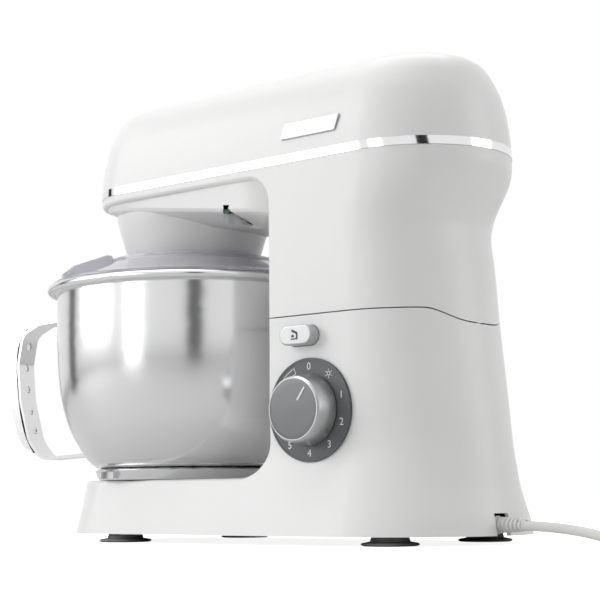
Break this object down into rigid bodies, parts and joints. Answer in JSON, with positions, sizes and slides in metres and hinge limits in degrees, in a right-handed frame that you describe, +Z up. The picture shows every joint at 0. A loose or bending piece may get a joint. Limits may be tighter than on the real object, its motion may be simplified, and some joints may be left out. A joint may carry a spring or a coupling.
{
  "type": "stand mixer",
  "caption": "Tilt-head stand mixer with steel bowl, clear splash lid, planetary drive, side speed knob, release button and mains cord.",
  "frame": {"origin": "table level, at the middle of the mixer's length and width without its cord", "axes": "+Z up, +X towards the rear where the cord leaves, -Y the side with the speed knob"},
  "size_m": [0.6339, 0.2393, 0.336],
  "materials": {
    "body": "satin moulded, white",
    "chrome": "polished",
    "bowl_steel": "polished stainless steel",
    "steel": "plain",
    "aluminium": "satin",
    "cast_metal": "as cast",
    "dial": "fine grain",
    "button": "satin silver lacquer",
    "knob": "satin metallic lacquer",
    "dark_rubber": "matt",
    "inner_plastic": "plain",
    "dark_plastic": "plain",
    "board": "lacquered",
    "copper": "enamelled wire",
    "bronze": "sintered",
    "belt": "matt",
    "cord": "matt, white",
    "lid_clear": "clear moulded plastic",
    "lens": "frosted"
  },
  "bodies": {
    "stand": {"stand_housing": "body", "suction_feet": "dark_rubber", "bottom_plate": "dark_plastic", "base_screws": "steel", "bowl_plate": "body", "plate_screws": "steel", "hinge_bracket": "steel", "hinge_pin": "steel", "column_cap": "inner_plastic", "dial_ring": "dial", "speed_switch": "dark_plastic", "control_board": "board", "button_guide": "inner_plastic", "return_spring": "steel", "cord_gland": "cord", "power_cord": "cord", "cord_coil": "cord", "plug_body": "cord", "plug_pins": "chrome"},
    "knob": {"speed_knob": "knob", "knob_face": "knob", "knob_shaft": "steel"},
    "button": {"release_button": "button", "latch_slider": "inner_plastic"},
    "head": {"head_lower_housing": "body", "head_top_cover": "body", "trim_strip": "chrome", "badge_plate": "button", "lamp_lens": "lens", "lamp_board": "board", "head_bottom_cover": "inner_plastic", "hinge_arms": "steel", "hinge_bushes": "bronze", "gear_frame": "cast_metal", "main_bearings": "bronze", "motor_stator": "steel", "motor_windings": "copper", "motor_brackets": "cast_metal", "drive_belt": "belt", "head_screws": "steel", "ring_gear": "steel"},
    "planet": {"main_gear": "steel", "main_shaft": "steel", "planet_carrier": "dark_plastic"},
    "tool": {"tool_spindle": "steel", "planet_gear": "steel"},
    "beater": {"beater": "cast_metal"},
    "layshaft": {"belt_pulley": "dark_plastic", "pinion_shaft": "steel"},
    "rotor": {"rotor": "steel", "rotor_shaft": "steel", "cooling_fan": "dark_plastic", "motor_pulley": "steel"},
    "bowl": {"bowl": "bowl_steel", "bowl_foot": "bowl_steel", "handle_strap": "bowl_steel", "handle_cover": "bowl_steel"},
    "lid": {"lid": "lid_clear", "pour_chute": "lid_clear"}
  },
  "joints": [
    {"name": "head_tilt", "type": "hinge", "parent": "stand", "child": "head", "pos_m": [0.19673, 0, 0.172], "axis": [0, 1, 0], "range_deg": [0, 32]},
    {"name": "speed_turn", "type": "hinge", "parent": "stand", "child": "knob", "pos_m": [0.11323, -0.066, 0.09], "axis": [0, 1, 0], "range_deg": [-72, 180]},
    {"name": "button_press", "type": "slide", "parent": "stand", "child": "button", "axis": [0, 1, 0], "range_m": [0, 0.005], "stiffness_N_per_m": 400, "springref_m": -0.004, "deforming": ["return_spring"]},
    {"name": "planet_spin", "type": "hinge", "parent": "head", "child": "planet", "pos_m": [-0.05927, 0, 0.218], "axis": [0, 0, 1], "continuous": true},
    {"name": "tool_spin", "type": "hinge", "parent": "planet", "child": "tool", "pos_m": [-0.03327, 0, 0.218], "axis": [0, 0, 1], "continuous": true},
    {"name": "beater_lift", "type": "slide", "parent": "tool", "child": "beater", "axis": [0, 0, 1], "range_m": [0, 0.004]},
    {"name": "layshaft_spin", "type": "hinge", "parent": "head", "child": "layshaft", "pos_m": [-0.01427, 0, 0.27], "axis": [0, 0, 1], "continuous": true},
    {"name": "rotor_spin", "type": "hinge", "parent": "head", "child": "rotor", "pos_m": [0.13073, 0, 0.227], "axis": [0, 0, 1], "continuous": true},
    {"name": "bowl_turn", "type": "hinge", "parent": "stand", "child": "bowl", "pos_m": [-0.05927, 0, 0.046], "axis": [0, 0, 1], "range_deg": [0, 35]},
    {"name": "lid_turn", "type": "hinge", "parent": "head", "child": "lid", "pos_m": [-0.05927, 0, 0.212], "axis": [0, 0, 1], "range_deg": [0, 20]}
  ],
  "couplings": [
    {"joint": "tool_spin", "follows": "planet_spin", "ratio": -3},
    {"joint": "layshaft_spin", "follows": "planet_spin", "ratio": -4},
    {"joint": "rotor_spin", "follows": "planet_spin", "ratio": -16}
  ]
}
